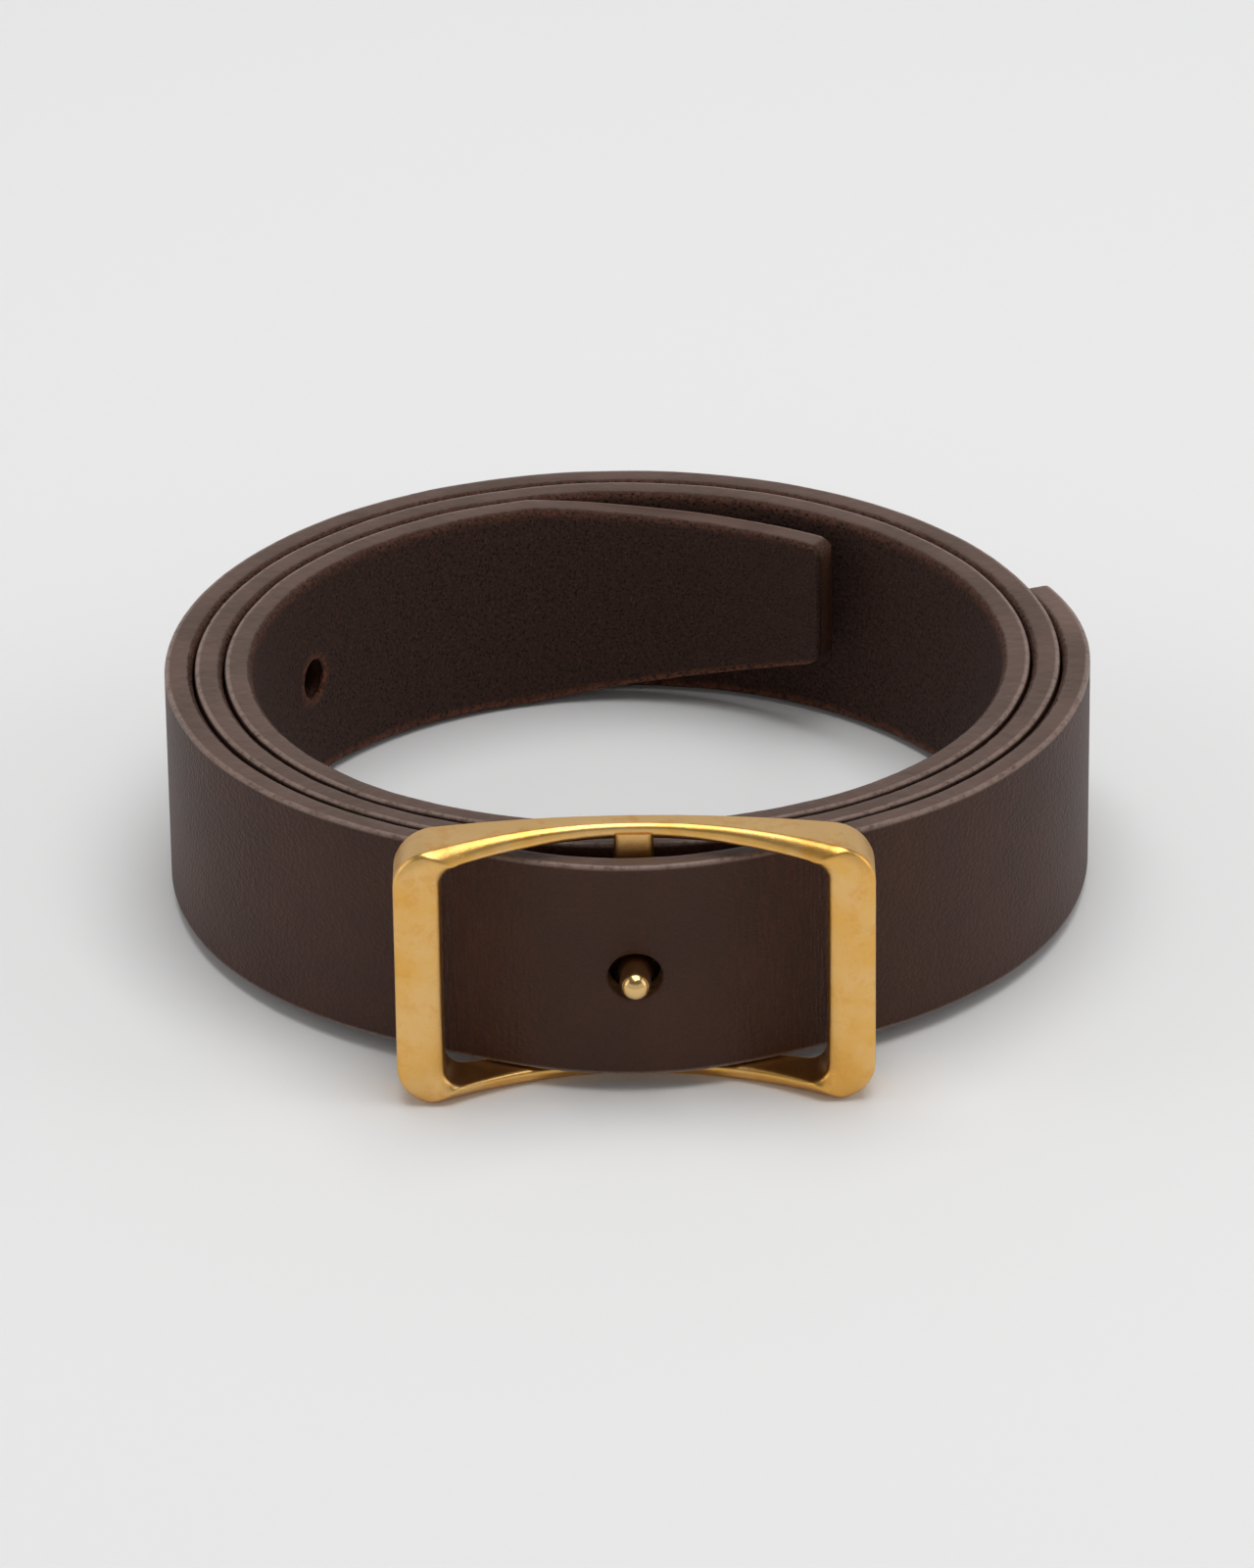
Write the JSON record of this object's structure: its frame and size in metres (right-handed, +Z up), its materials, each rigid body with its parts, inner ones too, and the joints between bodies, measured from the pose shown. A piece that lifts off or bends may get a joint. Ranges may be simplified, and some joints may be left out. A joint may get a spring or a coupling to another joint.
{
  "type": "leather belt",
  "caption": "Coiled dark brown leather belt with a rectangular brass buckle whose stud passes through a punched hole in the strap",
  "frame": {"origin": "the middle of the underside of the whole belt's bounding box", "axes": "+Z up along the strap's width; the buckle faces -Y; the strap runs clockwise, seen from above, from the stud to its inner end"},
  "size_m": [0.1324, 0.1368, 0.0388],
  "materials": {
    "bridle_leather": "dark brown bridle leather, smooth outside and rough inside",
    "buckle_brass": "cast brass, tumbled satin",
    "stud_brass": "turned brass, polished"
  },
  "bodies": {
    "coil": {"strap_turn_02": "bridle_leather", "strap_turn_03": "bridle_leather", "strap_turn_04": "bridle_leather", "strap_turn_05": "bridle_leather", "strap_turn_06": "bridle_leather", "strap_turn_07": "bridle_leather", "strap_turn_08": "bridle_leather", "strap_turn_09": "bridle_leather", "strap_turn_10": "bridle_leather", "strap_turn_11": "bridle_leather", "strap_turn_12": "bridle_leather", "strap_turn_13": "bridle_leather", "strap_turn_14": "bridle_leather", "strap_turn_15": "bridle_leather", "strap_turn_16": "bridle_leather", "strap_turn_17": "bridle_leather", "strap_turn_18": "bridle_leather", "strap_turn_19": "bridle_leather", "strap_turn_20": "bridle_leather"},
    "strap_tip": {"strap_tip": "bridle_leather"},
    "strap_turn_01": {"strap_turn_01": "bridle_leather"},
    "strap_buckle_section": {"strap_buckle_section": "bridle_leather"},
    "strap_tail_1": {"strap_tail_1": "bridle_leather"},
    "strap_tail_2": {"strap_tail_2": "bridle_leather"},
    "strap_tail_end": {"strap_tail_end": "bridle_leather"},
    "buckle": {"buckle_frame": "buckle_brass", "stud": "stud_brass"}
  },
  "joints": [
    {"name": "outer_flex", "type": "hinge", "parent": "coil", "child": "strap_turn_01", "pos_m": [-0.06238, -0.01835, 0.0187], "axis": [0, 0, -1], "range_deg": [0, 40]},
    {"name": "side_flex", "type": "hinge", "parent": "strap_turn_01", "child": "strap_buckle_section", "pos_m": [-0.02728, -0.05454, 0.0187], "axis": [0, 0, -1], "range_deg": [0, 35]},
    {"name": "tail_flex_1", "type": "hinge", "parent": "strap_buckle_section", "child": "strap_tail_1", "pos_m": [0.02546, -0.05528, 0.0187], "axis": [0, 0, -1], "range_deg": [0, 35]},
    {"name": "tail_flex_2", "type": "hinge", "parent": "strap_tail_1", "child": "strap_tail_2", "pos_m": [0.05908, -0.02502, 0.0187], "axis": [0, 0, -1], "range_deg": [0, 30]},
    {"name": "tail_end_flex", "type": "hinge", "parent": "strap_tail_2", "child": "strap_tail_end", "pos_m": [0.06613, 0.00198, 0.0187], "axis": [0, 0, -1], "range_deg": [0, 20]},
    {"name": "tip_flex", "type": "hinge", "parent": "coil", "child": "strap_tip", "pos_m": [0.00772, 0.05418, 0.0187], "axis": [0, 0, -1], "range_deg": [0, 20]},
    {"name": "buckle_swing", "type": "hinge", "parent": "strap_buckle_section", "child": "buckle", "pos_m": [0.00052, -0.05717, 0.0194], "axis": [0, 0, 1], "range_deg": [-2, 2]}
  ]
}
